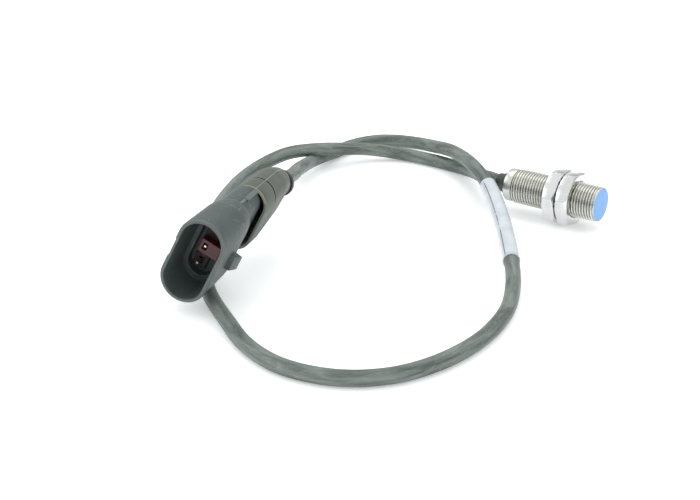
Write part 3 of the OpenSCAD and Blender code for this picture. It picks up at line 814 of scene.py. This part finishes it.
boot_rows += [(28.9, 10.5, 9.35, -0.7, 1.5), (29.6, 9.75, 8.95, -0.58, 1.3),
              (30.2, 8.9, 8.5, -0.35, 0.85), (30.7, 8.1, 8.05, -0.08, 0.25),
              (30.9, 7.8, 7.8, 0, 0), (BOOT_LEN - 0.2, 7.8, 7.8, 0, 0), (BOOT_LEN, 7.5, 7.5, 0, 0)]
APEX = 21                      # the outline's point at the top of the boot
# the lip's upper side gets a painted highlight
LIP_HIGHLIGHT_COLS = range(13, 34)       # the outline's upper side
LIP_HIGHLIGHT_ROWS = range(inside_count - 4, inside_count - 1)
GROOVE = (7.4, 8.69)
PLAIN, LIP_HIGHLIGHT, SEAM_LINE, GROOVE_SHADE, INSIDE_PAINTED_LIGHT = range(5)


def boot_slot(row, col):
    """The material slot of one face of the boot."""
    # painted highlight on the lip's front, upper side only
    if row in LIP_HIGHLIGHT_ROWS and col in LIP_HIGHLIGHT_COLS:
        return LIP_HIGHLIGHT
    # the groove's rows get painted shade
    if row >= inside_count and GROOVE[0] < boot_rows[row][0] < GROOVE[1]:
        return GROOVE_SHADE
    # the inner walls get painted light
    return INSIDE_PAINTED_LIGHT if row < inside_count - 4 else PLAIN


boot_points = stations([(BOOT_FRONT + t, *rest) for t, *rest in boot_rows])
boot_faces = grid(len(boot_rows), RING_COLS, close_rows=True)
boot_slots = [boot_slot(i, j) for i in range(len(boot_rows)) for j in range(RING_COLS)]

# The mould's parting line, a thin raised strip along the top of the boot
STRIP_END = 29.7
STRIP_GAP = (7.1, 8.8)
STRIP_HALF, STRIP_TOP_HALF = 0.10, 0.07
STRIP_RISE, STRIP_SUNK = 0.07, 0.3
strip = [boot_points[i * RING_COLS + APEX] for i, (t, *_) in enumerate(boot_rows)
         if i >= inside_count - 1 and t < STRIP_END and not STRIP_GAP[0] < t < STRIP_GAP[1]]
first = len(boot_points)
for x, t, z in strip:
    boot_points += [(x - STRIP_HALF, t, z - STRIP_SUNK), (x - STRIP_TOP_HALF, t, z + STRIP_RISE),
                    (x + STRIP_TOP_HALF, t, z + STRIP_RISE), (x + STRIP_HALF, t, z - STRIP_SUNK)]
strip_faces = [tuple(first + k for k in face)
               for face in grid(len(strip), 4) + end_caps(len(strip), 4)]
boot_faces += strip_faces
boot_slots += [SEAM_LINE] * len(strip_faces)
piece("rear_boot", boot_points, boot_faces,
      [boot_plastic, boot_lip_highlight, boot_seam, boot_groove_shade, boot_inside_painted_light],
      "boot", ["boot"], "boot_plastic", connector_place, sharp=34, face_slots=boot_slots)

RING_WALL_R, RING_R, RING_LEN = 3.92, 4.6, 1.6
ring_line = rounded([(BOOT_END - RING_LEN, RING_WALL_R), (BOOT_END - RING_LEN, RING_R),
                     (BOOT_END, RING_R), (BOOT_END, RING_WALL_R)], 0.4, 5)
END_RING_COLS = 56
ring_points = []
for t, r in ring_line:
    for j in range(END_RING_COLS):
        a = 2 * math.pi * j / END_RING_COLS
        ring_points.append((r * math.cos(a), t, r * math.sin(a)))
ring_faces = grid(len(ring_line), END_RING_COLS, close_rows=True)
piece("boot_end_ring", ring_points, ring_faces, ring_rubber,
      "boot", ["boot_ring"], "ring_rubber", connector_place)

# ---------------------------------------------------------------- CAD nodes that stay, with finishes
FINISHES = {
    "ferrite_core": ferrite, "coil_bobbin": bobbin_plastic, "coil_winding": copper_wire,
    "circuit_board": board, "board_components": chip_plastic, "potting_resin": resin,
    "rear_plug": black_plastic, "terminal_lock": lock_plastic, "terminal_1": terminal_metal,
    "terminal_2": terminal_metal, "terminal_3": terminal_metal, "wire_seal_1": seal_rubber,
    "wire_seal_2": seal_rubber, "wire_seal_3": seal_rubber, "sensor_wire_brown": core_brown,
    "sensor_wire_black": core_black, "sensor_wire_blue": core_blue,
    "plug_wire_brown": core_brown, "plug_wire_black": core_black, "plug_wire_blue": core_blue,
}
BEVELS = {"circuit_board": 0.04, "board_components": 0.08, "terminal_lock": 0.15,
          "terminal_1": 0.08, "terminal_2": 0.08, "terminal_3": 0.08}
LOCK_BLOCK_BACK = 13.6
LOCK_BLOCK_HALF = 2.5


def shade_lock_body(node):
    """Leaves the block in the mouth red and paints shade on the body behind and beside it."""
    node.data.materials.append(lock_painted_shade)
    to_connector = (Matrix.Scale(MM, 4) @ connector_place).inverted() @ node.matrix_world
    for face in node.data.polygons:
        _, t, z = to_connector @ face.center
        # slot 1 is painted shade on the lock's body
        face.material_index = 0 if t < LOCK_BLOCK_BACK and abs(z) < LOCK_BLOCK_HALF else 1


def soften(node, width):
    """Joins the facets of the flat sides and rounds the edges."""
    weld = node.modifiers.new("weld", "WELD")
    weld.merge_threshold = 2e-6
    flat = node.modifiers.new("flat", "DECIMATE")
    flat.decimate_type = "DISSOLVE"
    flat.angle_limit = math.radians(2)
    bevel = node.modifiers.new("bevel", "BEVEL")
    bevel.width = width * MM
    bevel.segments = 2
    bevel.limit_method = "ANGLE"


for name, material in FINISHES.items():
    nodes[name].data.materials.clear()
    nodes[name].data.materials.append(material)
shade_lock_body(nodes["terminal_lock"])
for name, width in BEVELS.items():
    soften(nodes[name], width)


# ---------------------------------------------------------------- stage and light
def floor_material():
    """White paint that glows a little, so that the floor meets the white background."""
    s = Shader("floor_paint", rough=0.7, Emission_Color=(0.97, 0.99, 1, 1),
               Emission_Strength=0.28)
    cloud = s.noise(s.where(), 9, 3)
    colour = s.ramp(cloud, [(0.3, (0.90, 0.91, 0.92)), (0.7, (0.93, 0.93, 0.94))])
    s.link(colour, "Base Color")
    return s.material


FLOOR_SIZE = 4
floor_mesh = bpy.data.meshes.new("floor")
bm = bmesh.new()
bmesh.ops.create_grid(bm, x_segments=8, y_segments=8, size=FLOOR_SIZE)
bm.to_mesh(floor_mesh)
bm.free()
floor_mesh.materials.append(floor_material())
floor = bpy.data.objects.new("floor", floor_mesh)
bpy.context.scene.collection.objects.link(floor)

world = bpy.data.worlds.new("studio")
bpy.context.scene.world = world
world.use_nodes = True
tree = world.node_tree
background = tree.nodes["Background"]
direction = tree.nodes.new("ShaderNodeTexCoord")
split = tree.nodes.new("ShaderNodeSeparateXYZ")
ramp = tree.nodes.new("ShaderNodeValToRGB")
tree.links.new(direction.outputs["Generated"], split.inputs["Vector"])
tree.links.new(split.outputs["Z"], ramp.inputs["Fac"])
tree.links.new(ramp.outputs["Color"], background.inputs["Color"])
SKY_TINT = (0.985, 1.0, 0.995)
SKY_STRENGTH = 1.12
SKY = [(0.0, 0.78), (0.08, 0.48), (0.20, 0.50), (0.34, 0.95), (0.62, 1.0)]
stops = ramp.color_ramp.elements
while len(stops) < len(SKY):
    stops.new(0.5)
for stop, (place, shade) in zip(stops, SKY):
    stop.position = place
    stop.color = (*(shade * part for part in SKY_TINT), 1)
background.inputs["Strength"].default_value = SKY_STRENGTH


LIT_PLACE = Vector((-0.03, -0.05, 0))


def soft_light(name, place, size, power, colour=(1, 1, 1)):
    data = bpy.data.lights.new(name, "AREA")
    data.shape = "RECTANGLE"
    data.size, data.size_y = size
    data.energy = power
    data.color = colour
    light = bpy.data.objects.new(name, data)
    light.location = place
    toward = LIT_PLACE - Vector(place)
    light.rotation_euler = toward.to_track_quat("-Z", "Y").to_euler()
    bpy.context.scene.collection.objects.link(light)


soft_light("overhead", (-0.25, 0.35, 1.15), (1.3, 1.0), 3.5, (1.0, 0.995, 0.98))
soft_light("left_side", (-1.0, -0.45, 0.7), (0.7, 0.7), 2, (0.97, 0.99, 1.0))
bpy.context.scene.view_settings.view_transform = "Standard"
